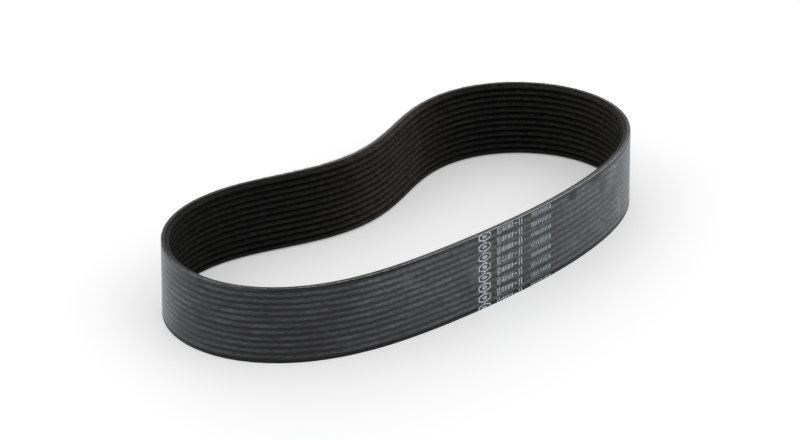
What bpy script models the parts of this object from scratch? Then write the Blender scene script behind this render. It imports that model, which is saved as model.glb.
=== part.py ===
# Serpentine belt: one endless rubber belt with its ribs on the inside, standing on its cut edge.
# It lies as a belt opens when it is laid down: two round lobes with a waist between them.
# Lengths are in metres and angles in degrees. +Z is up, the floor is Z = 0 and the long axis is X.

import math

import bmesh
import bpy
import numpy as np
from mathutils import Matrix, Vector

# Length of the belt at its effective line, and how deep that line lies under the back
EFFECTIVE_LENGTH = 0.780
EFFECTIVE_LINE_DEPTH = 0.0026

# Section: a flat back that carries the ribs, which stand at the pitch of the pulley's grooves
RIB_COUNT = 12
RIB_PITCH = 0.00356
BACK_THICKNESS = 0.00195
RIB_HEIGHT = 0.00235
RIB_ANGLE = 40.0
GROOVE_FLOOR_WIDTH = 0.0005
TIP_RADIUS = 0.00045
BACK_EDGE_RADIUS = 0.00015

# A rounded corner takes no more than this share of the shorter side beside it
CORNER_SIDE_SHARE = 0.45
CORNER_STEPS = 1

# How far the belt's heading swings to each side of an even circle, counted from the middle of the near run.
# The swing in two waves draws the loop out long, and the one in three pulls the far run in to a waist.
LONG_SWING = -35.9
WAIST_SWING = 8.2
SHOULDER_SWING = -3.7
LOBE_SWING = 3.6
RUN_SWING = -1.1

# The same for the swings that lean the loop to one side, so that its two lobes differ
LONG_BIAS = 3.0
SHOULDER_BIAS = -0.9
RUN_BIAS = -0.4

# Heading of the belt in the middle of the near run, with the long axis along X
NEAR_RUN_HEADING = -2.5

# How far the belt's wall leans out of upright: positive is outward at the top
NEAR_RUN_LEAN = -5.3
END_LEAN = 2.0

# Fineness: steps along the curve where it is worked out, and sections along the belt where it is built
CURVE_STEPS = 1440
STATION_COUNT = 76
TURNING_SHARE = 0.5
CLOSING_ROUNDS = 12

RUBBER_COLOR = (0.022, 0.022, 0.024, 1.0)
RUBBER_ROUGHNESS = 0.62
SMOOTH_ANGLE = 35.0

BELT_WIDTH = RIB_COUNT * RIB_PITCH
BACK_LENGTH = EFFECTIVE_LENGTH + 2.0 * math.pi * EFFECTIVE_LINE_DEPTH


def clear_scene():
    for item in list(bpy.data.objects):
        bpy.data.objects.remove(item, do_unlink=True)


# Corners of the section as (depth under the back, height above the floor, radius), once round the outline
def section_corners():
    flank_rise = RIB_HEIGHT * math.tan(math.radians(RIB_ANGLE / 2.0))
    groove_half = GROOVE_FLOOR_WIDTH / 2.0
    tip_depth = BACK_THICKNESS + RIB_HEIGHT
    corners = [(0.0, 0.0, BACK_EDGE_RADIUS), (BACK_THICKNESS, 0.0, 0.0)]
    for rib in range(RIB_COUNT):
        foot = rib * RIB_PITCH + groove_half
        head = (rib + 1) * RIB_PITCH - groove_half
        corners.append((BACK_THICKNESS, foot, 0.0))
        corners.append((tip_depth, foot + flank_rise, TIP_RADIUS))
        corners.append((tip_depth, head - flank_rise, TIP_RADIUS))
        corners.append((BACK_THICKNESS, head, 0.0))
    corners.append((BACK_THICKNESS, BELT_WIDTH, 0.0))
    corners.append((0.0, BELT_WIDTH, BACK_EDGE_RADIUS))
    return corners


# Points along the arc that rounds one corner between its two neighbours
def rounded_corner(before, corner, after, radius):
    to_before = (before - corner).normalized()
    to_after = (after - corner).normalized()
    half_angle = to_before.angle(to_after) / 2.0
    shorter_side = min((before - corner).length, (after - corner).length)
    reach = min(radius / math.tan(half_angle), CORNER_SIDE_SHARE * shorter_side)
    centre = corner + (to_before + to_after).normalized() * (reach / math.cos(half_angle))
    arm = corner + to_before * reach - centre
    turn = math.copysign(math.pi - 2.0 * half_angle, to_after.cross(to_before))
    return [centre + Matrix.Rotation(turn * step / CORNER_STEPS, 2) @ arm for step in range(CORNER_STEPS + 1)]


# The section's outline with its corners rounded
def section_outline():
    corners = section_corners()
    places = [Vector((depth, height)) for depth, height, radius in corners]
    outline = []
    for index, (depth, height, radius) in enumerate(corners):
        if radius > 0.0:
            before = places[index - 1]
            after = places[(index + 1) % len(places)]
            outline.extend(rounded_corner(before, places[index], after, radius))
        else:
            outline.append(places[index])
    return outline


# Heading of the belt along one round of phase, in radians, before the loop is made to meet itself
def free_heading(phase):
    swings = {2: LONG_SWING, 3: WAIST_SWING, 4: SHOULDER_SWING, 5: LOBE_SWING, 6: RUN_SWING}
    biases = {2: LONG_BIAS, 4: SHOULDER_BIAS, 6: RUN_BIAS}
    heading = phase.copy()
    for waves, swing in swings.items():
        heading += math.radians(swing) * np.sin(waves * phase)
    for waves, bias in biases.items():
        heading += math.radians(bias) * np.cos(waves * phase)
    return heading


# The one-wave swing that brings the end of the loop back to its start, found by Newton's method
def closing_swing(phase, heading):
    swing = np.zeros(2)
    waves = np.array([np.sin(phase), np.cos(phase)])
    for _ in range(CLOSING_ROUNDS):
        bent = heading + swing @ waves
        gap = np.array([np.cos(bent).mean(), np.sin(bent).mean()])
        slope = np.array([-(np.sin(bent) * waves).mean(axis=1), (np.cos(bent) * waves).mean(axis=1)])
        swing = swing - np.linalg.solve(slope, gap)
    return swing @ waves


# The back's line at half height: phase, x, y and heading at each step, with the last point on the first
def loop_curve():
    middles = (np.arange(CURVE_STEPS) + 0.5) * 2.0 * math.pi / CURVE_STEPS
    free = free_heading(middles)
    heading = free + closing_swing(middles, free) + math.radians(NEAR_RUN_HEADING)
    step_length = BACK_LENGTH / CURVE_STEPS
    x = np.concatenate([[0.0], np.cumsum(step_length * np.cos(heading))])
    y = np.concatenate([[0.0], np.cumsum(step_length * np.sin(heading))])
    phase = np.linspace(0.0, 2.0 * math.pi, CURVE_STEPS + 1)
    turned = heading[-1] - 2.0 * math.pi
    node_heading = np.interp(phase, np.concatenate([[middles[-1] - 2.0 * math.pi], middles]),
                             np.concatenate([[turned], heading]))
    node_heading[-1] = node_heading[0] + 2.0 * math.pi
    return phase, x, y, node_heading


# Phases of the sections, which stand closer together where the belt bends more
def station_phases(phase, heading):
    turning = np.abs(np.diff(heading))
    share = TURNING_SHARE * turning / turning.sum() + (1.0 - TURNING_SHARE) / CURVE_STEPS
    reached = np.concatenate([[0.0], np.cumsum(share)])
    return np.interp(np.arange(STATION_COUNT) / STATION_COUNT, reached, phase)


# Where the belt stands at each section: a point on the back at half height, its outward way and its lean
def stations():
    phase, x, y, heading = loop_curve()
    result = []
    for here in station_phases(phase, heading):
        angle = np.interp(here, phase, heading)
        outward = Vector((math.sin(angle), -math.cos(angle), 0.0))
        point = Vector((np.interp(here, phase, x), np.interp(here, phase, y), 0.0))
        lean = NEAR_RUN_LEAN * math.cos(here) + END_LEAN * math.sin(here)
        result.append((point, outward, math.tan(math.radians(lean))))
    return result


# A point of the section set in its place at a station
def placed(station, section_point):
    point, outward, slope = station
    depth, height = section_point
    shift = slope * (height - BELT_WIDTH / 2.0) - depth
    return point + outward * shift + Vector((0.0, 0.0, height))


# The new end of the extruded wall, in the order of the ring that it was extruded from
def extruded_ring(mesh, ring):
    edges = [mesh.edges.get((ring[index - 1], ring[index])) for index in range(len(ring))]
    made = bmesh.ops.extrude_edge_only(mesh, edges=edges)
    fresh = {item for item in made["geom"] if isinstance(item, bmesh.types.BMVert)}
    following = []
    for vertex in ring:
        neighbours = [edge.other_vert(vertex) for edge in vertex.link_edges]
        following.append(next(item for item in neighbours if item in fresh))
    return following


# The belt: its section extruded from station to station, with the last ring welded to the first
def belt_mesh():
    outline = section_outline()
    places = stations()
    mesh = bmesh.new()
    first_ring = [mesh.verts.new(placed(places[0], point)) for point in outline]
    for index in range(len(first_ring)):
        mesh.edges.new((first_ring[index - 1], first_ring[index]))
    ring = first_ring
    for station in places[1:] + places[:1]:
        ring = extruded_ring(mesh, ring)
        for vertex, point in zip(ring, outline):
            vertex.co = placed(station, point)
    bmesh.ops.weld_verts(mesh, targetmap=dict(zip(ring, first_ring)))
    bmesh.ops.recalc_face_normals(mesh, faces=mesh.faces)
    across = [vertex.co.x for vertex in mesh.verts]
    along = [vertex.co.y for vertex in mesh.verts]
    middle = Vector(((min(across) + max(across)) / 2.0, (min(along) + max(along)) / 2.0, 0.0))
    bmesh.ops.translate(mesh, verts=mesh.verts, vec=-middle)
    data = bpy.data.meshes.new("serpentine_belt")
    mesh.to_mesh(data)
    mesh.free()
    data.shade_smooth()
    data.set_sharp_from_angle(angle=math.radians(SMOOTH_ANGLE))
    return data


def rubber_material():
    material = bpy.data.materials.new("belt_rubber")
    material.use_nodes = True
    shader = material.node_tree.nodes["Principled BSDF"]
    shader.inputs["Base Color"].default_value = RUBBER_COLOR
    shader.inputs["Roughness"].default_value = RUBBER_ROUGHNESS
    shader.inputs["Metallic"].default_value = 0.0
    return material


def build_belt():
    belt = bpy.data.objects.new("serpentine_belt", belt_mesh())
    belt.data.materials.append(rubber_material())
    bpy.context.scene.collection.objects.link(belt)


clear_scene()
build_belt()
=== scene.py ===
import math
import random

import bmesh
import bpy
import numpy as np
from mathutils import Euler, Matrix, Vector, noise


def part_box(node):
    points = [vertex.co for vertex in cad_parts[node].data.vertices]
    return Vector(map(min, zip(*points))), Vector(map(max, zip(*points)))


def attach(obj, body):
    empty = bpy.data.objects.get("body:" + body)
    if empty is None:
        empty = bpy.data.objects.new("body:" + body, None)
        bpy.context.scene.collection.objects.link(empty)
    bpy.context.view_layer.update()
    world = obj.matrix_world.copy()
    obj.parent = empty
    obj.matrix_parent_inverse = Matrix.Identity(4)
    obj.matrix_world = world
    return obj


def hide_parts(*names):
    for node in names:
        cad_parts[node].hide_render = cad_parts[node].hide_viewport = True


# Dresses the serpentine belt: a finer ribbed wall, loose threads, printed marks, rubber finishes,
# and the table, light and camera of the photograph. Lengths are in metres and angles in degrees.
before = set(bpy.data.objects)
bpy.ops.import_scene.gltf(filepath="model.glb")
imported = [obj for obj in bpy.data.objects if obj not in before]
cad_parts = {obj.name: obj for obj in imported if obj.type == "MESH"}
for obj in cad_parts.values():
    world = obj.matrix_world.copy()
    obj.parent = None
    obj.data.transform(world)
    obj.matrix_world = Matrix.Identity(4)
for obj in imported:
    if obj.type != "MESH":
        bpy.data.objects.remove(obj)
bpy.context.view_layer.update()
beltLow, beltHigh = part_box("serpentine_belt")
beltWidth = beltHigh.z - beltLow.z
print("frame loaded, belt", round(beltWidth * 1000, 2), "mm wide")

belt = {
    "effectiveLength": 0.780,       # m
    "effectiveLineDepth": 0.0026,   # under the back
    "swings": {2: -35.9, 3: 8.2, 4: -3.7, 5: 3.6, 6: -1.1},   # degrees, by waves in the loop
    "biases": {2: 3.0, 4: -0.9, 6: -0.4},
    "nearRunHeading": -2.5,
    "nearRunLean": -5.3,            # positive is outward at the top
    "endLean": 2.0,
    "curveSteps": 2880,
    "closingRounds": 12,
    "boxProbes": 720,
}
backLength = belt["effectiveLength"] + 2 * math.pi * belt["effectiveLineDepth"]
loopRadius = backLength / (2 * math.pi)     # of the belt unrolled to a plain round hoop


# bend of the belt: phase, x, y and heading of the back at half height
def loopCurve():
    steps = belt["curveSteps"]
    middles = (np.arange(steps) + 0.5) * 2 * math.pi / steps
    heading = middles.copy()
    for waves, swing in belt["swings"].items():
        heading += math.radians(swing) * np.sin(waves * middles)
    for waves, bias in belt["biases"].items():
        heading += math.radians(bias) * np.cos(waves * middles)
    once = np.array([np.sin(middles), np.cos(middles)])
    closing = np.zeros(2)
    for _ in range(belt["closingRounds"]):      # bends the loop until its end meets its start
        bent = heading + closing @ once
        gap = np.array([np.cos(bent).mean(), np.sin(bent).mean()])
        slope = np.array([-(np.sin(bent) * once).mean(axis=1), (np.cos(bent) * once).mean(axis=1)])
        closing = closing - np.linalg.solve(slope, gap)
    heading += closing @ once + math.radians(belt["nearRunHeading"])
    step = backLength / steps
    x = np.concatenate([[0.0], np.cumsum(step * np.cos(heading))])
    y = np.concatenate([[0.0], np.cumsum(step * np.sin(heading))])
    phase = np.linspace(0, 2 * math.pi, steps + 1)
    before = [middles[-1] - 2 * math.pi]
    after = [middles[0] + 2 * math.pi]
    headings = np.concatenate([[heading[-1] - 2 * math.pi], heading, [heading[0] + 2 * math.pi]])
    return phase, x, y, np.interp(phase, np.concatenate([before, middles, after]), headings)


curve = loopCurve()


# where the wall stands at a length along the belt, counted from the middle of the near run
def wallFrame(along):
    phase = (2 * math.pi * along / backLength) % (2 * math.pi)
    x, y, heading = (float(np.interp(phase, curve[0], values)) for values in curve[1:])
    lean = belt["nearRunLean"] * math.cos(phase) + belt["endLean"] * math.sin(phase)
    outward = Vector((math.sin(heading), -math.cos(heading), 0))
    return Vector((x, y, 0)), outward, math.tan(math.radians(lean)), phase


# a point of the wall there, at a depth under the back and a height over the table
def wallPoint(place, depth, height):
    point, outward, slope, phase = place
    return point + outward * (slope * (height - beltWidth / 2) - depth) + Vector((0, 0, height)) + shift


# the same point on the plain round hoop, where the finishes are laid out
def hoopPoint(phase, height):
    return Vector((loopRadius * math.cos(phase), loopRadius * math.sin(phase), height))


# puts the bend's box where the CAD belt's box is
shift = Vector((0, 0, 0))
probePlaces = [wallFrame(backLength * k / belt["boxProbes"]) for k in range(belt["boxProbes"])]
probes = [wallPoint(place, 0, height) for place in probePlaces for height in (0, beltWidth)]
for axis in (0, 1):
    low = min(point[axis] for point in probes)
    high = max(point[axis] for point in probes)
    shift[axis] = (beltLow[axis] + beltHigh[axis]) / 2 - (low + high) / 2
print("bend laid out,", round(backLength * 1000, 1), "mm round the back")


# an object from a finished mesh
def makePiece(mesh, name):
    data = bpy.data.meshes.new(name)
    mesh.to_mesh(data)
    mesh.free()
    piece = bpy.data.objects.new(name, data)
    bpy.context.scene.collection.objects.link(piece)
    data.calc_loop_triangles()
    print(name, "built:", len(data.loop_triangles), "triangles")
    return piece


wall = {
    "stations": 396,
    "ribs": 12,
    "backThickness": 0.00195,
    "ribHeight": 0.00235,
    "ribAngle": 40,
    "grooveFloor": 0.0005,
    "grooveRadius": 0.00018,
    "tipRadius": 0.00045,
    "tipSteps": 3,
    "cornerRadius": 0.00022,
    "cornerSteps": 3,
    "backPieces": 84,
    "cutPieces": 4,
    "ripple": 0.00002,          # the back swells a little over each groove
    "frayDepth": 0.00007,       # how unevenly the cut corner is worn
    "frayLength": 0.0022,
    "sharpAngle": 50,
    "weldDistance": 1e-6,
}
ribPitch = beltWidth / wall["ribs"]


def roundCorner(before, corner, after, radius, steps):
    toBefore = (before - corner).normalized()
    toAfter = (after - corner).normalized()
    half = toBefore.angle(toAfter) / 2
    centre = corner + (toBefore + toAfter).normalized() * (radius / math.sin(half))
    arm = corner + toBefore * (radius / math.tan(half)) - centre
    turn = math.copysign(math.pi - 2 * half, toAfter.cross(toBefore))
    return [centre + Matrix.Rotation(turn * step / steps, 2) @ arm for step in range(steps + 1)]


# how far the back lies under its mean surface at a height
def backRipple(height):
    return -wall["ripple"] * math.cos(2 * math.pi * height / ribPitch)


# once round the section, as (depth, height, finish of the strip that starts here)
def sectionOutline():
    radius = wall["cornerRadius"]
    thick = wall["backThickness"]
    outline = []
    for k in range(wall["backPieces"]):
        height = radius + (beltWidth - 2 * radius) * k / wall["backPieces"]
        fromEdge = min(height, beltWidth - height)
        outline.append((backRipple(height), height, "hem" if fromEdge < ribPitch / 2 else "back"))
    for k in range(wall["cornerSteps"]):
        angle = math.pi / 2 * k / wall["cornerSteps"]
        height = beltWidth - radius * (1 - math.sin(angle))
        outline.append((radius * (1 - math.cos(angle)), height, "corner"))
    for k in range(wall["cutPieces"]):
        outline.append((radius + (thick - radius) * k / wall["cutPieces"], beltWidth, "cut"))
    outline.append((thick, beltWidth, "ribs"))
    halfFloor = wall["grooveFloor"] / 2
    tip = thick + wall["ribHeight"]
    rise = wall["ribHeight"] * math.tan(math.radians(wall["ribAngle"] / 2))
    for rib in range(wall["ribs"]):
        top = beltWidth - rib * ribPitch - halfFloor
        bottom = beltWidth - (rib + 1) * ribPitch + halfFloor
        corners = [Vector((thick, top + 2 * halfFloor)), Vector((thick, top)), Vector((tip, top - rise)),
                   Vector((tip, bottom + rise)), Vector((thick, bottom)),
                   Vector((thick, bottom - 2 * halfFloor))]
        bends = [(wall["grooveRadius"], 1), (wall["tipRadius"], wall["tipSteps"]),
                 (wall["tipRadius"], wall["tipSteps"]), (wall["grooveRadius"], 1)]
        for k, (bend, steps) in enumerate(bends):
            for point in roundCorner(corners[k], corners[k + 1], corners[k + 2], bend, steps):
                outline.append((point.x, point.y, "ribs"))
    outline.append((thick, 0.0, "cut"))
    for k in range(1, wall["cutPieces"]):
        outline.append((thick + (radius - thick) * k / wall["cutPieces"], 0.0, "cut"))
    for k in range(wall["cornerSteps"]):
        angle = math.pi / 2 * k / wall["cornerSteps"]
        outline.append((radius * (1 - math.sin(angle)), radius * (1 - math.cos(angle)), "corner"))
    return outline


finishes = ["back", "hem", "corner", "cut", "ribs"]


# the wall: a flat grid, rolled up round the section one way and along the bend the other way
def buildWall():
    outline = sectionOutline()
    columns, rows = wall["stations"], len(outline)
    mesh = bmesh.new()
    mesh.loops.layers.uv.new("beltMap")
    unrolled = mesh.verts.layers.float_vector.new("unrolled")
    bmesh.ops.create_grid(mesh, x_segments=columns, y_segments=rows, size=0.5, calc_uvs=True)
    for face in mesh.faces:
        row = int((face.calc_center_median().y + 0.5) * rows)
        face.material_index = finishes.index(outline[row][2])
        face.smooth = True
    places = [wallFrame(backLength * (0.5 + k / columns)) for k in range(columns)]   # starts at the waist
    for vert in mesh.verts:
        place = places[round((vert.co.x + 0.5) * columns) % columns]
        depth, height, finish = outline[round((vert.co.y + 0.5) * rows) % rows]
        roll = hoopPoint(place[3], height)
        if finish == "corner" and 0 < height < beltWidth:
            depth += wall["frayDepth"] * noise.noise(roll / wall["frayLength"])
        vert[unrolled] = roll
        vert.co = wallPoint(place, depth, height)
    bmesh.ops.remove_doubles(mesh, verts=mesh.verts, dist=wall["weldDistance"])
    bmesh.ops.recalc_face_normals(mesh, faces=mesh.faces)
    piece = makePiece(mesh, "belt_wall")
    piece.data.set_sharp_from_angle(angle=math.radians(wall["sharpAngle"]))
    return piece


beltWall = buildWall()
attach(beltWall, "root")
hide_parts("serpentine_belt")


threads = {
    "count": 2400,
    "seed": 12,
    "length": (0.0005, 0.0014),
    "radius": 0.00006,
    "tipShare": 0.4,            # of the radius
    "sides": 4,
    "spread": 25,               # degrees that a thread points to either side of the edge
    "depth": (0.00012, 0.0004),         # under the back, where a thread starts
    "sunk": 0.00006,            # how far it starts under the cut edge
    # where threads hang loose: middle and spread round the loop from the near run's middle, share of them,
    # and the least and most that they stand up from the cut edge
    "places": [(22, 30, 0.12, 2, 35), (-70, 40, 0.06, 2, 35), (172, 13, 0.32, 30, 85),
               (170, 60, 0.50, 5, 70)],
}


# loose ends of cloth that the cut has left along the upper edge of the back
def buildThreads():
    chance = random.Random(threads["seed"])
    mesh = bmesh.new()
    shares = [place[2] for place in threads["places"]]
    for _ in range(threads["count"]):
        middle, width, share, least, most = chance.choices(threads["places"], weights=shares)[0]
        place = wallFrame(backLength / 360 * chance.gauss(middle, width))
        length = chance.uniform(*threads["length"])
        lift = math.radians(chance.uniform(least, most))
        side = math.radians(chance.uniform(-threads["spread"], threads["spread"]))
        outward = place[1]
        level = Vector((-outward.y, outward.x, 0)) * chance.choice((-1, 1))
        rise = Vector((0, 0, math.sin(lift)))
        aim = level * math.cos(side) * math.cos(lift) + outward * math.sin(side) + rise
        foot = wallPoint(place, chance.uniform(*threads["depth"]), beltWidth - threads["sunk"])
        turn = aim.to_track_quat("Z", "Y").to_matrix().to_4x4()
        matrix = Matrix.Translation(foot + aim.normalized() * length / 2) @ turn
        bmesh.ops.create_cone(mesh, cap_ends=True, segments=threads["sides"], radius1=threads["radius"],
                              radius2=threads["radius"] * threads["tipShare"], depth=length, matrix=matrix)
    bmesh.ops.recalc_face_normals(mesh, faces=mesh.faces)
    return makePiece(mesh, "edge_threads")


edgeThreads = buildThreads()
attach(edgeThreads, "root")


marks = {
    "rowPitch": 0.00575,
    "topRow": 0.0406,           # height of the first row's middle
    "rows": 8,
    "rowDrift": -0.0005,        # each row starts a little before the one above
    "proud": 0.00003,
    "cutTolerance": 1e-7,
    "strokePiece": 0.0006,      # strokes are cut to about this length, to follow the back
    "frame": (-0.0152, -0.0044, 0.0056),        # start and end along the belt, height
    "frameLine": 0.0009,
    "frameCore": 0.0021,
    "frameCuts": 3,
    # strokes by their height: start along the belt and width
    "strokes": {
        0.0042: [(0.0000, 0.0007), (0.0016, 0.0006), (0.0172, 0.0006), (0.0190, 0.0007)],
        0.0028: [(0.0034, 0.0005), (0.0046, 0.0008), (0.0061, 0.0005), (0.0073, 0.0005), (0.0086, 0.0009),
                 (0.0103, 0.0005), (0.0115, 0.0008)],
        0.0006: [(0.0134, 0.0024)],
        0.0025: [(0.0275, 0.0004), (0.0287, 0.0006), (0.0303, 0.0004), (0.0315, 0.0004), (0.0331, 0.0007),
                 (0.0349, 0.0004), (0.0362, 0.0006), (0.0378, 0.0004), (0.0390, 0.0004), (0.0403, 0.0006),
                 (0.0421, 0.0004), (0.0433, 0.0007)],
    },
}


# one upright stroke in the flat layout of the print
def addStroke(mesh, start, width, middle, height):
    pieces = max(1, round(height / marks["strokePiece"]))
    made = bmesh.ops.create_grid(mesh, x_segments=1, y_segments=pieces, size=0.5)
    bmesh.ops.scale(mesh, verts=made["verts"], vec=(width, height, 1))
    bmesh.ops.translate(mesh, verts=made["verts"], vec=(start + width / 2, middle, 0))


# a six-sided frame round a small full six-sided core
def addFrame(mesh, start, end, middle, height):
    for size, hollow in ((height / 2, True), (marks["frameCore"] / 2, False)):
        made = bmesh.ops.create_circle(mesh, cap_ends=True, segments=6, radius=size)
        bmesh.ops.scale(mesh, verts=made["verts"], vec=((end - start) / height, 1, 1))
        bmesh.ops.translate(mesh, verts=made["verts"], vec=((start + end) / 2, middle, 0))
        faces = list({face for vert in made["verts"] for face in vert.link_faces})
        if hollow:
            bmesh.ops.inset_individual(mesh, faces=faces, thickness=marks["frameLine"], depth=0)
            bmesh.ops.delete(mesh, geom=faces, context="FACES_ONLY")
        edges = list({edge for vert in made["verts"] for edge in vert.link_edges})
        bmesh.ops.subdivide_edges(mesh, edges=edges, cuts=marks["frameCuts"], use_grid_fill=True)


# plain marks printed across the back in rows
def buildMarks():
    mesh = bmesh.new()
    for row in range(marks["rows"]):
        middle = marks["topRow"] - row * marks["rowPitch"]
        drift = row * marks["rowDrift"]
        start, end, height = marks["frame"]
        addFrame(mesh, start + drift, end + drift, middle, height)
        for height, strokes in marks["strokes"].items():
            for start, width in strokes:
                addStroke(mesh, start + drift, width, middle, height)
    # cut off with the belt at both edges
    for edge, way in ((wall["cornerRadius"], -1), (beltWidth - wall["cornerRadius"], 1)):
        everything = mesh.verts[:] + mesh.edges[:] + mesh.faces[:]
        bmesh.ops.bisect_plane(mesh, geom=everything, dist=marks["cutTolerance"], clear_outer=True,
                               plane_co=(0, edge, 0), plane_no=(0, way, 0))
    bmesh.ops.solidify(mesh, geom=mesh.faces[:], thickness=marks["proud"] * 2)
    unrolled = mesh.verts.layers.float_vector.new("unrolled")
    low = min(vert.co.z for vert in mesh.verts)
    for vert in mesh.verts:
        along, height, lift = vert.co
        depth = backRipple(height) + (-marks["proud"] if lift - low > marks["proud"] else marks["proud"])
        vert[unrolled] = hoopPoint(along / loopRadius, height)
        vert.co = wallPoint(wallFrame(along), depth, height)
    bmesh.ops.recalc_face_normals(mesh, faces=mesh.faces)
    return makePiece(mesh, "print_marks")


printMarks = buildMarks()
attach(printMarks, "root")


# small helpers for the node trees
def addNode(tree, kind, **values):
    node = tree.nodes.new(kind)
    for name, value in values.items():
        setattr(node, name, value)
    return node


def setInput(node, **values):
    for name, value in values.items():
        node.inputs[name.replace("_", " ")].default_value = value


# links an input to another node's result, or sets it to a plain value
def feed(tree, socket, value):
    if isinstance(value, bpy.types.NodeSocket):
        tree.links.new(value, socket)
    else:
        socket.default_value = value


def calculate(tree, operation, first, second=0.0, third=0.0):
    node = addNode(tree, "ShaderNodeMath", operation=operation)
    for index, value in enumerate((first, second, third)):
        feed(tree, node.inputs[index], value)
    return node.outputs["Value"]


def mixColors(tree, factor, first, second, blend="MIX"):
    node = addNode(tree, "ShaderNodeMix", data_type="RGBA", blend_type=blend)
    for index, value in ((0, factor), (6, first), (7, second)):
        feed(tree, node.inputs[index], value)
    return node.outputs[2]


def alongAxis(tree, direction, axis):
    node = addNode(tree, "ShaderNodeVectorMath", operation="DOT_PRODUCT")
    node.inputs[1].default_value = axis
    tree.links.new(direction, node.inputs[0])
    return node.outputs["Value"]


# the place on the round hoop that each point of a mesh carries
def hoopPlace(tree):
    return addNode(tree, "ShaderNodeAttribute", attribute_name="unrolled").outputs["Vector"]


# a node group with number inputs and one mask
def newMaskGroup(name, inputs):
    group = bpy.data.node_groups.new(name, "ShaderNodeTree")
    for label, value in inputs.items():
        socket = group.interface.new_socket(label, in_out="INPUT", socket_type="NodeSocketFloat")
        socket.default_value = value
    group.interface.new_socket("Mask", in_out="OUTPUT", socket_type="NodeSocketFloat")
    return group, addNode(group, "NodeGroupInput"), addNode(group, "NodeGroupOutput")


streakNoise = {
    "defaults": {"Along": 30.0, "Across": 900.0, "Detail": 3.0, "Low": 0.35, "High": 0.65},
    "roughness": 0.55,
}


# a noise on the belt's unrolled surface, stretched along it and spread over 0 to 1
def makeStreakGroup():
    group, source, result = newMaskGroup("beltStreaks", streakNoise["defaults"])
    scale = addNode(group, "ShaderNodeCombineXYZ")
    stretch = addNode(group, "ShaderNodeVectorMath", operation="MULTIPLY")
    pattern = addNode(group, "ShaderNodeTexNoise")
    spread = addNode(group, "ShaderNodeMapRange")
    setInput(pattern, Scale=1.0, Roughness=streakNoise["roughness"])
    feed(group, scale.inputs["X"], source.outputs["Along"])
    feed(group, scale.inputs["Y"], source.outputs["Along"])
    feed(group, scale.inputs["Z"], source.outputs["Across"])
    feed(group, stretch.inputs[0], hoopPlace(group))
    feed(group, stretch.inputs[1], scale.outputs["Vector"])
    feed(group, pattern.inputs["Vector"], stretch.outputs["Vector"])
    feed(group, pattern.inputs["Detail"], source.outputs["Detail"])
    feed(group, spread.inputs["Value"], pattern.outputs["Fac"])
    feed(group, spread.inputs["From Min"], source.outputs["Low"])
    feed(group, spread.inputs["From Max"], source.outputs["High"])
    feed(group, result.inputs["Mask"], spread.outputs["Result"])
    return group


bandDefaults = {"Sharpness": 1.0, "Edge": 0.002, "Sway": 0.0}


# bands at the rib pitch, from 0 at a rib's middle to 1 over a groove, that fade out at the cut edges
def makeBandGroup():
    group, source, result = newMaskGroup("ribBands", bandDefaults)
    split = addNode(group, "ShaderNodeSeparateXYZ")
    feed(group, split.inputs["Vector"], hoopPlace(group))
    height = split.outputs["Z"]
    swayed = calculate(group, "ADD", height, source.outputs["Sway"])
    wave = calculate(group, "COSINE", calculate(group, "MULTIPLY", swayed, 2 * math.pi / ribPitch))
    band = calculate(group, "MULTIPLY_ADD", wave, 0.5, 0.5)
    band.node.use_clamp = True
    band = calculate(group, "POWER", band, source.outputs["Sharpness"])
    fromMiddle = calculate(group, "ABSOLUTE", calculate(group, "ADD", height, -beltWidth / 2))
    fade = addNode(group, "ShaderNodeMapRange", interpolation_type="SMOOTHSTEP")
    feed(group, fade.inputs["Value"], calculate(group, "SUBTRACT", beltWidth / 2, fromMiddle))
    feed(group, fade.inputs["From Max"], source.outputs["Edge"])
    feed(group, result.inputs["Mask"], calculate(group, "MULTIPLY", fade.outputs["Result"], band))
    return group


streakGroup = makeStreakGroup()
bandGroup = makeBandGroup()


def newMaterial(name):
    material = bpy.data.materials.new(name)
    material.use_nodes = True
    return material, material.node_tree, material.node_tree.nodes["Principled BSDF"]


def placeGroup(tree, group, values):
    node = addNode(tree, "ShaderNodeGroup", node_tree=group)
    for name, value in values.items():
        feed(tree, node.inputs[name], value)
    return node.outputs["Mask"]


# the noises of a finish, each from its scale along and up the belt, its detail and the two levels
# that are spread over 0 to 1
def noiseMasks(tree, finish):
    labels = list(streakNoise["defaults"])
    return {name: placeGroup(tree, streakGroup, dict(zip(labels, values)))
            for name, values in finish["noises"].items()}


# a factor from a mask, as a pair of gain and base
def scaled(tree, mask, share):
    return calculate(tree, "MULTIPLY_ADD", mask, share[0], share[1])


# the finish's masks added up to a height, each with its share
def bumpNormal(tree, masks, finish):
    height = 0.0
    for name, share in finish["bump"].items():
        height = calculate(tree, "MULTIPLY_ADD", masks[name], share, height)
    node = addNode(tree, "ShaderNodeBump")
    setInput(node, Strength=finish["bumpStrength"], Distance=finish["bumpDepth"])
    tree.links.new(height, node.inputs["Height"])
    return node.outputs["Normal"]


black = (0, 0, 0, 1)

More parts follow.
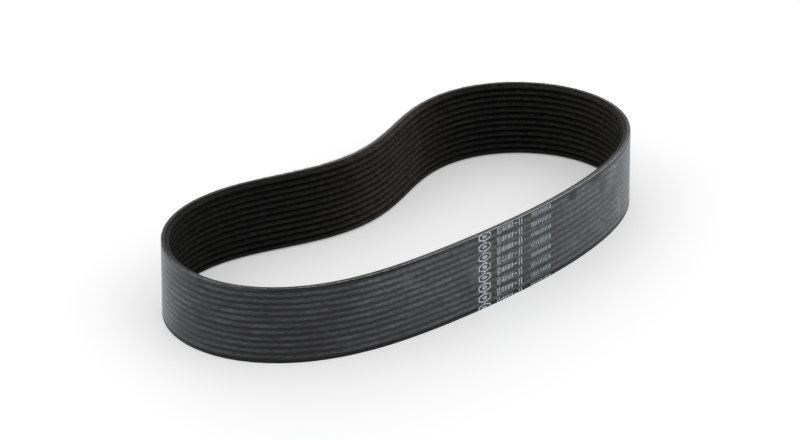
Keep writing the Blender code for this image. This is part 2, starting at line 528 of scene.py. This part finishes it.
backFinish = {
    "rubber": (0.0012, 0.0012, 0.0013, 1),
    "noises": {
        "drifts": (18.0, 50.0, 2.0, 0.30, 0.70),
        "breaks": (50.0, 420.0, 4.0, 0.34, 0.64),
        "streaks": (16.0, 1200.0, 5.0, 0.32, 0.68),
        "patches": (34.0, 80.0, 3.0, 0.35, 0.68),
        "smudges": (26.0, 60.0, 2.0, 0.56, 0.72),
        "weave": (360.0, 1050.0, 4.0, 0.30, 0.70),
        "grain": (1500.0, 2600.0, 2.0, 0.30, 0.70),
        "scuffs": (120.0, 900.0, 5.0, 0.66, 0.74),
    },
    # grey bands over the grooves, lighter than the rubber, with the gain and base by which the noises break
    # them up
    "bandGrey": (0.0645, 0.0657, 0.0701, 1),
    "bandSharpness": 1.0,
    "plainEdge": 0.0022,        # the bands end this far from the cut edges
    "sway": 0.0009,             # how far the bands wander
    "bandGreyBreaks": (0.68, 0.54),
    "bandGreyPatches": (0.36, 0.72),
    "bandGreyStreaks": 0.03,
    "smudgeShare": 0.7,
    "smudgedBandGrey": (0.34, 0.34, 0.34, 1),
    # dust and painted sheen, lighter round two places of the loop and towards the top: places round the loop,
    # in degrees from the near run's middle, with their strength and sharpness
    "dustAndSheen": (0.0278, 0.0286, 0.0308),
    "dustAndSheenPlaces": [(24, 1.12, 1), (-135, 0.95, 2)],
    "fainterBands": [(-59, 0.45, 14)],         # fainter grey bands here
    "dustAndSheenHeight": (0.8, 0.6),   # painted light, lighter towards the top: gain up the belt's width and base
    "dustAndSheenPatches": (0.6, 0.7),
    "dustAndSheenBands": (0.7, 0.65),
    # the strips beside the cut edges
    "hemDustAndSheen": 0.9,
    # painted shade darkens these strips round the near run's middle, and painted light brightens them further
    # round at the left
    "hemShadeAndLight": [(-41, 0.85, 16), (-100, -1.7, 6)],
    "hemFootShade": 0.32,            # painted shade at the foot: share of the look that is left at the lower edge
    "scuff": (0.100, 0.105, 0.110, 1),
    "scuffShare": 0.35,
    "weaveShare": 1.05,         # how much the fine cloth grain varies the colour
    # wear that the photograph shows, in mm and degrees: middle along the belt and up it, half length,
    # half height, tilt and share, and the gain and base by which the noises break it up
    "smear": (0.056, 0.057, 0.061, 1),
    "smears": [(103, 28, 13, 5.0, -6, 0.9), (94, 9, 10, 5.5, -20, 0.8), (-19, 22, 7, 9, 0, 0.8),
               (-66, 33, 6, 6, 0, 0.7), (62, 11, 10, 5, -8, 0.7)],
    "smearBreaks": (0.5, 0.6),
    "soiled": [(64, 39.0, 6.5, 3.6, 0, 1.0), (93.8, 13.1, 4.0, 0.9, -40, 1.0),
               (99.4, 9.6, 4.8, 0.85, -26, 1.0), (88, 40.0, 10, 2.8, -4, 0.9), (95, 33.0, 7, 7.0, -12, 0.7),
               (109, 25.0, 7, 4, -8, 0.5)],
    "soiledStreaks": (0.3, 0.8),
    "rubbedColor": (0.175, 0.18, 0.19, 1),
    "rubbed": [(110, 38.2, 11, 1.5, -2, 1.0), (107, 34.8, 9, 1.5, -3, 1.0), (105, 31.6, 6, 1.2, -8, 0.8),
               (74, 36.5, 3.5, 1.0, -35, 0.6), (95, 14.2, 6, 0.7, -31, 0.5), (117, 14, 5, 12, 8, 0.5),
               (68, 34.8, 5, 0.9, -20, 0.45)],
    "rubbedStreaks": (0.9, 0.3),
    "spotCore": 0.2,            # share of a spot's size that has its full strength
    "roughness": (0.12, 0.42),          # gain by the streaks and base
    "refraction": 1.33,
    "sheen": 0.34,
    "hemSheen": 0.10,           # the strips beside the cut edges are rubbed darker
    "sheenRoughness": 0.4,
    "sheenTint": (0.93, 0.97, 1.0, 1),
    "bump": {"streaks": 0.8, "grain": 0.5, "weave": 0.8},
    "bumpStrength": 0.45,
    "bumpDepth": 0.00006,
}


# how strongly each point of the loop belongs to some places round it
def roundLoop(tree, spots):
    place = hoopPlace(tree)
    cover = 0.0
    for degrees, strength, sharpness in spots:
        turn = math.radians(degrees)
        side = alongAxis(tree, place, (math.cos(turn) / loopRadius, math.sin(turn) / loopRadius, 0))
        side = calculate(tree, "POWER", calculate(tree, "MAXIMUM", side, 0.0), sharpness)
        cover = calculate(tree, "MULTIPLY_ADD", side, strength, cover)
    return cover


# rises from a base at the belt's foot, by a gain over its whole width
def upTheBelt(tree, share):
    rise = alongAxis(tree, hoopPlace(tree), (0, 0, share[0] / beltWidth))
    return calculate(tree, "ADD", rise, share[1])


# pale dust and painted sheen on parts of the loop, fading downwards, as a factor round 1
def dustAndSheenCover(tree, patches, bands):
    cover = calculate(tree, "MULTIPLY", roundLoop(tree, backFinish["dustAndSheenPlaces"]),
                      upTheBelt(tree, backFinish["dustAndSheenHeight"]))
    cover = calculate(tree, "MULTIPLY", cover, scaled(tree, patches, backFinish["dustAndSheenPatches"]))
    return calculate(tree, "MULTIPLY", cover, scaled(tree, bands, backFinish["dustAndSheenBands"]))


# wear in oval spots with soft edges, as a mask
def spotMask(tree, spots, breakup):
    place = hoopPlace(tree)
    total = 0.0
    for along, height, halfLength, halfHeight, tilt, share in spots:
        turn = along / 1000 / loopRadius
        level = Vector((-math.sin(turn), math.cos(turn), 0))
        outward = Vector((math.cos(turn), math.sin(turn), 0))
        slant = math.radians(tilt)
        first = level * math.cos(slant) + Vector((0, 0, math.sin(slant)))
        third = Vector((0, 0, math.cos(slant))) - level * math.sin(slant)
        local = addNode(tree, "ShaderNodeMapping", vector_type="TEXTURE")
        local.inputs["Location"].default_value = hoopPoint(turn, height / 1000)
        local.inputs["Rotation"].default_value = Matrix((first, outward, third)).transposed().to_euler()
        local.inputs["Scale"].default_value = (halfLength / 1000, halfLength / 1000, halfHeight / 1000)
        tree.links.new(place, local.inputs["Vector"])
        away = addNode(tree, "ShaderNodeVectorMath", operation="LENGTH")
        tree.links.new(local.outputs["Vector"], away.inputs[0])
        fade = addNode(tree, "ShaderNodeMapRange", interpolation_type="SMOOTHSTEP")
        setInput(fade, From_Min=1.0, From_Max=backFinish["spotCore"], To_Max=share)
        tree.links.new(away.outputs["Value"], fade.inputs["Value"])
        total = calculate(tree, "ADD", fade.outputs["Result"], total)
    return calculate(tree, "MULTIPLY", total, breakup)


# share of the grey bands on the back: over the grooves, broken up, fainter in one place and smudged in others
def bandGreyCover(tree, masks, bands):
    bandGrey = calculate(tree, "MULTIPLY", bands, scaled(tree, masks["breaks"], backFinish["bandGreyBreaks"]))
    bandGrey = calculate(tree, "MULTIPLY", bandGrey, scaled(tree, masks["patches"], backFinish["bandGreyPatches"]))
    bandGrey = calculate(tree, "MULTIPLY_ADD", masks["streaks"], backFinish["bandGreyStreaks"], bandGrey)
    left = calculate(tree, "SUBTRACT", 1.0, roundLoop(tree, backFinish["fainterBands"]))
    bandGrey = calculate(tree, "MULTIPLY", bandGrey, left)
    smudged = calculate(tree, "MULTIPLY", masks["smudges"], backFinish["smudgeShare"])
    return mixColors(tree, smudged, bandGrey, backFinish["smudgedBandGrey"])


# lays smears, dust with painted sheen, scuffs, rubbed streaks and soiled spots over a colour, in this order
def addWear(tree, masks, color, dustAndSheen):
    smear = spotMask(tree, backFinish["smears"], scaled(tree, masks["breaks"], backFinish["smearBreaks"]))
    color = mixColors(tree, smear, color, backFinish["smear"])
    color = mixColors(tree, 1.0, color, dustAndSheen, "ADD")
    scuffed = calculate(tree, "MULTIPLY", masks["scuffs"], backFinish["scuffShare"])
    color = mixColors(tree, scuffed, color, backFinish["scuff"])
    rubbed = spotMask(tree, backFinish["rubbed"], scaled(tree, masks["streaks"], backFinish["rubbedStreaks"]))
    color = mixColors(tree, rubbed, color, backFinish["rubbedColor"])
    soiled = spotMask(tree, backFinish["soiled"], scaled(tree, masks["streaks"], backFinish["soiledStreaks"]))
    return mixColors(tree, soiled, color, backFinish["rubber"])


def makeBackMaterial(name, sheen, hem):
    material, tree, shader = newMaterial(name)
    masks = noiseMasks(tree, backFinish)
    sway = scaled(tree, masks["drifts"], (backFinish["sway"], -backFinish["sway"] / 2))
    bands = placeGroup(tree, bandGroup, {"Sharpness": backFinish["bandSharpness"],
                                         "Edge": backFinish["plainEdge"], "Sway": sway})
    color = mixColors(tree, bandGreyCover(tree, masks, bands), backFinish["rubber"], backFinish["bandGrey"])
    # dust with painted sheen, a little weaker in the strips beside the cut edges
    dustAndSheenColor = [value * (backFinish["hemDustAndSheen"] if hem else 1) for value in backFinish["dustAndSheen"]] + [1]
    dustAndSheen = mixColors(tree, dustAndSheenCover(tree, masks["patches"], bands), black, dustAndSheenColor)
    color = addWear(tree, masks, color, dustAndSheen)
    shade = scaled(tree, masks["weave"], (backFinish["weaveShare"], 1 - backFinish["weaveShare"] / 2))
    # painted shade: the strips beside the cut edges grow darker towards the foot and round the near run's
    # middle
    if hem:
        left = calculate(tree, "SUBTRACT", 1.0, roundLoop(tree, backFinish["hemShadeAndLight"]))
        rise = upTheBelt(tree, (1 - backFinish["hemFootShade"], backFinish["hemFootShade"]))
        shade = calculate(tree, "MULTIPLY", shade, calculate(tree, "MULTIPLY", left, rise))
    color = mixColors(tree, 1.0, color, shade, "MULTIPLY")
    tree.links.new(color, shader.inputs["Base Color"])
    tree.links.new(scaled(tree, masks["streaks"], backFinish["roughness"]), shader.inputs["Roughness"])
    tree.links.new(bumpNormal(tree, masks, backFinish), shader.inputs["Normal"])
    setInput(shader, IOR=backFinish["refraction"], Sheen_Weight=sheen, Sheen_Tint=backFinish["sheenTint"],
             Sheen_Roughness=backFinish["sheenRoughness"])
    return material


cornerFinish = {
    "rubber": (0.080, 0.082, 0.084, 1),
    "fibre": (0.46, 0.47, 0.47, 1),
    "noises": {"threads": (330.0, 3000.0, 4.0, 0.42, 0.62), "stretches": (28.0, 28.0, 2.0, 0.30, 0.62)},
    "stretchShare": (0.8, 0.2),
    # places round the loop where the threads and a painted highlight along the corner show most or least
    "pale": [(6, 1.0, 7), (58, 0.5, 12), (180, 0.5, 12), (166, 0.8, 24), (-88, -0.35, 14)],
    "paleShare": 0.4,
    "roughness": 0.6,
    "bump": {"threads": 1.0},
    "bumpStrength": 0.6,
    "bumpDepth": 0.0001,
}


def makeCornerMaterial():
    material, tree, shader = newMaterial("belt_corner")
    masks = noiseMasks(tree, cornerFinish)
    # the threads and a painted highlight along the corner, strongest at the listed places
    pale = roundLoop(tree, cornerFinish["pale"])
    cover = calculate(tree, "ADD", scaled(tree, masks["stretches"], cornerFinish["stretchShare"]), pale)
    fibres = calculate(tree, "MULTIPLY_ADD", pale, cornerFinish["paleShare"], masks["threads"])
    cover = calculate(tree, "MULTIPLY", fibres, cover)
    color = mixColors(tree, cover, cornerFinish["rubber"], cornerFinish["fibre"])
    tree.links.new(color, shader.inputs["Base Color"])
    tree.links.new(bumpNormal(tree, masks, cornerFinish), shader.inputs["Normal"])
    setInput(shader, Roughness=cornerFinish["roughness"])
    return material


cutFinish = {
    "rubber": (0.016, 0.016, 0.017, 1),
    "cordEnd": (0.060, 0.060, 0.058, 1),
    "noises": {"sliced": (600.0, 600.0, 5.0, 0.30, 0.75)},
    # dust and painted sheen on the cut face, lighter round some places of the loop
    "dustAndSheen": (0.070, 0.070, 0.068, 1),
    "dustAndSheenPlaces": [(5, 0.8, 4), (56, 1.0, 9), (166, 1.7, 24), (150, 0.6, 1)],
    "dustAndSheenBase": 0.5,
    "roughness": 0.75,
    "specular": 0.25,
    "bump": {"sliced": 1.0},
    "bumpStrength": 0.5,
    "bumpDepth": 0.00008,
}


def makeCutMaterial():
    material, tree, shader = newMaterial("belt_cut_edge")
    masks = noiseMasks(tree, cutFinish)
    color = mixColors(tree, masks["sliced"], cutFinish["rubber"], cutFinish["cordEnd"])
    # dust and painted sheen, by place round the loop and broken up by the cut marks
    uneven = calculate(tree, "ADD", masks["sliced"], cutFinish["dustAndSheenBase"])
    cover = calculate(tree, "MULTIPLY", roundLoop(tree, cutFinish["dustAndSheenPlaces"]), uneven)
    color = mixColors(tree, 1.0, color, mixColors(tree, cover, black, cutFinish["dustAndSheen"]), "ADD")
    tree.links.new(color, shader.inputs["Base Color"])
    tree.links.new(bumpNormal(tree, masks, cutFinish), shader.inputs["Normal"])
    setInput(shader, Roughness=cutFinish["roughness"], Specular_IOR_Level=cutFinish["specular"])
    return material


ribFinish = {
    "rubber": (0.0055, 0.0053, 0.0051, 1),
    "worn": (0.0125, 0.0119, 0.0112, 1),
    "noises": {
        "streaks": (20.0, 1600.0, 4.0, 0.30, 0.70),
        "grain": (1800.0, 2200.0, 2.0, 0.30, 0.70),
        "weave": (500.0, 700.0, 4.0, 0.30, 0.70),
    },
    # dust and painted sheen on the ribs, lighter round two places of the loop
    "dustAndSheen": (0.0150, 0.0141, 0.0128, 1),
    "dustAndSheenPlaces": [(163, 1.45, 16), (84, 0.5, 20)],
    # painted light lies most under each groove's middle, on the rib's upper flank, and painted shade makes
    # the grooves dark
    "upperFlankLight": {"Sharpness": 1.0, "Edge": 0.0002, "Sway": 0.00098},
    "upperFlankLightShare": 1.25,
    "grooveShade": {"Sharpness": 3.0, "Edge": 0.0016},
    "grooveShadeShare": (-0.75, 1.0),
    "weaveShare": (1.2, 0.4),
    "roughness": 0.70,
    "specular": 0.09,
    "bump": {"streaks": 1.0, "weave": 1.2, "grain": 0.6},
    "bumpStrength": 0.45,
    "bumpDepth": 0.00008,
}


def makeRibMaterial():
    material, tree, shader = newMaterial("belt_ribs")
    masks = noiseMasks(tree, ribFinish)
    color = mixColors(tree, masks["streaks"], ribFinish["rubber"], ribFinish["worn"])
    # dust and painted sheen by place round the loop
    dustAndSheen = mixColors(tree, roundLoop(tree, ribFinish["dustAndSheenPlaces"]), black, ribFinish["dustAndSheen"])
    color = mixColors(tree, 1.0, color, dustAndSheen, "ADD")
    # painted light on each rib's upper flank and painted shade in the grooves
    upperFlankLit = placeGroup(tree, bandGroup, ribFinish["upperFlankLight"])
    grooveShaded = placeGroup(tree, bandGroup, ribFinish["grooveShade"])
    shade = scaled(tree, upperFlankLit, (ribFinish["upperFlankLightShare"], 1 - ribFinish["upperFlankLightShare"] / 2))
    shade = calculate(tree, "MULTIPLY", shade, scaled(tree, grooveShaded, ribFinish["grooveShadeShare"]))
    shade = calculate(tree, "MULTIPLY", shade, scaled(tree, masks["weave"], ribFinish["weaveShare"]))
    tree.links.new(mixColors(tree, 1.0, color, shade, "MULTIPLY"), shader.inputs["Base Color"])
    tree.links.new(bumpNormal(tree, masks, ribFinish), shader.inputs["Normal"])
    setInput(shader, Roughness=ribFinish["roughness"], Specular_IOR_Level=ribFinish["specular"])
    return material


threadFinish = {
    "cloth": (0.34, 0.35, 0.35, 1),
    "roughness": 0.8,
}


def makeThreadMaterial():
    material, _, shader = newMaterial("belt_threads")
    setInput(shader, Base_Color=threadFinish["cloth"], Roughness=threadFinish["roughness"])
    return material


printFinish = {
    "ink": (0.46, 0.505, 0.54, 1),
    "worn": (0.08, 0.085, 0.09, 1),
    "wear": {"Scale": 900.0, "Detail": 3.0, "Roughness": 0.6},
    "wornFrom": 0.58,           # levels of the wear between which the ink fades away
    "wornTo": 0.76,
    "noises": {"broad": (170.0, 200.0, 2.0, 0.30, 0.70)},
    "fading": 0.16,
    "roughness": 0.6,
}


def makePrintMaterial():
    material, tree, shader = newMaterial("belt_print")
    masks = noiseMasks(tree, printFinish)
    wear = addNode(tree, "ShaderNodeTexNoise")
    setInput(wear, **printFinish["wear"])
    tree.links.new(addNode(tree, "ShaderNodeTexCoord").outputs["Object"], wear.inputs["Vector"])
    spread = addNode(tree, "ShaderNodeMapRange")
    setInput(spread, From_Min=printFinish["wornFrom"], From_Max=printFinish["wornTo"])
    worn = calculate(tree, "MULTIPLY_ADD", masks["broad"], printFinish["fading"], wear.outputs["Fac"])
    tree.links.new(worn, spread.inputs["Value"])
    color = mixColors(tree, spread.outputs["Result"], printFinish["ink"], printFinish["worn"])
    tree.links.new(color, shader.inputs["Base Color"])
    setInput(shader, Roughness=printFinish["roughness"])
    return material


# in the order of the finishes round the section
beltWall.data.materials.append(makeBackMaterial("belt_back", backFinish["sheen"], False))
beltWall.data.materials.append(makeBackMaterial("belt_back_hem", backFinish["hemSheen"], True))
for make in (makeCornerMaterial, makeCutMaterial, makeRibMaterial):
    beltWall.data.materials.append(make())
printMarks.data.materials.append(makePrintMaterial())
edgeThreads.data.materials.append(makeThreadMaterial())
print("rubber finishes made")


shot = {
    "place": (-1.79920, -1.71020, 1.21149),
    "down": 25.6029,
    "turn": 46.311,
    "focalPixels": 4997.27,
    "photoWidth": 800,
    "sensor": 36.0,
    "clipEnd": 100,
}

studio = {
    "floorSize": 12.0,
    "floorColor": (0.93, 0.93, 0.935, 1),
    "floorRoughness": 0.9,
    "floorSpecular": 0.1,
    "lightColor": (1.0, 1.0, 1.0, 1),
    "tableGlow": 0.26,          # the white table is lit a little from below
    # soft patches of light round a dim white room: height and sharpness of each ring, then turn and gain
    # turn 0 is the side that the photo was taken from, and it goes round by the right
    "rings": [
        (10, 14, {0: 0.56, 30: 0.35, 60: 0.35, 90: 0.58, 120: 0.27, 150: 0.75, 180: 3.17, 210: 1.47,
                  270: 0.68, 300: 0.80}),
        (42, 10, {0: 0.90, 60: 1.18, 120: 0.91, 180: 0.47, 240: 0.68, 300: 1.12}),
        (90, 8, {0: 0.08}),
    ],
}


def buildTable():
    mesh = bmesh.new()
    bmesh.ops.create_grid(mesh, x_segments=1, y_segments=1, size=studio["floorSize"] / 2)
    table = makePiece(mesh, "table_top")
    material, _, shader = newMaterial("table_white")
    setInput(shader, Base_Color=studio["floorColor"], Roughness=studio["floorRoughness"],
             Specular_IOR_Level=studio["floorSpecular"], Emission_Color=studio["lightColor"],
             Emission_Strength=studio["tableGlow"])
    table.data.materials.append(material)


def lightRoom():
    world = bpy.data.worlds.new("studio_white")
    world.use_nodes = True
    tree = world.node_tree
    sky = tree.nodes["Background"]
    sky.inputs["Color"].default_value = studio["lightColor"]
    direction = addNode(tree, "ShaderNodeTexCoord").outputs["Generated"]
    light = 0.0
    for height, sharpness, patches in studio["rings"]:
        flat = math.cos(math.radians(height))
        for turn, gain in patches.items():
            angle = math.radians(shot["turn"] + 180 - turn)
            axis = (flat * math.sin(angle), flat * math.cos(angle), math.sin(math.radians(height)))
            facing = calculate(tree, "MAXIMUM", alongAxis(tree, direction, axis), 0.0)
            patch = calculate(tree, "POWER", facing, sharpness)
            light = calculate(tree, "MULTIPLY_ADD", patch, gain, light)
    tree.links.new(light, sky.inputs["Strength"])
    bpy.context.scene.world = world
    bpy.context.scene.view_settings.view_transform = "Standard"


def placeCamera():
    data = bpy.data.cameras.new("photo_camera")
    data.sensor_width = shot["sensor"]
    data.lens = shot["focalPixels"] / shot["photoWidth"] * shot["sensor"]
    data.clip_end = shot["clipEnd"]
    camera = bpy.data.objects.new("photo_camera", data)
    camera.location = shot["place"]
    camera.rotation_euler = Euler((math.radians(90 - shot["down"]), 0, math.radians(-shot["turn"])))
    bpy.context.scene.collection.objects.link(camera)
    bpy.context.scene.camera = camera


buildTable()
lightRoom()
placeCamera()
print("studio and camera set")
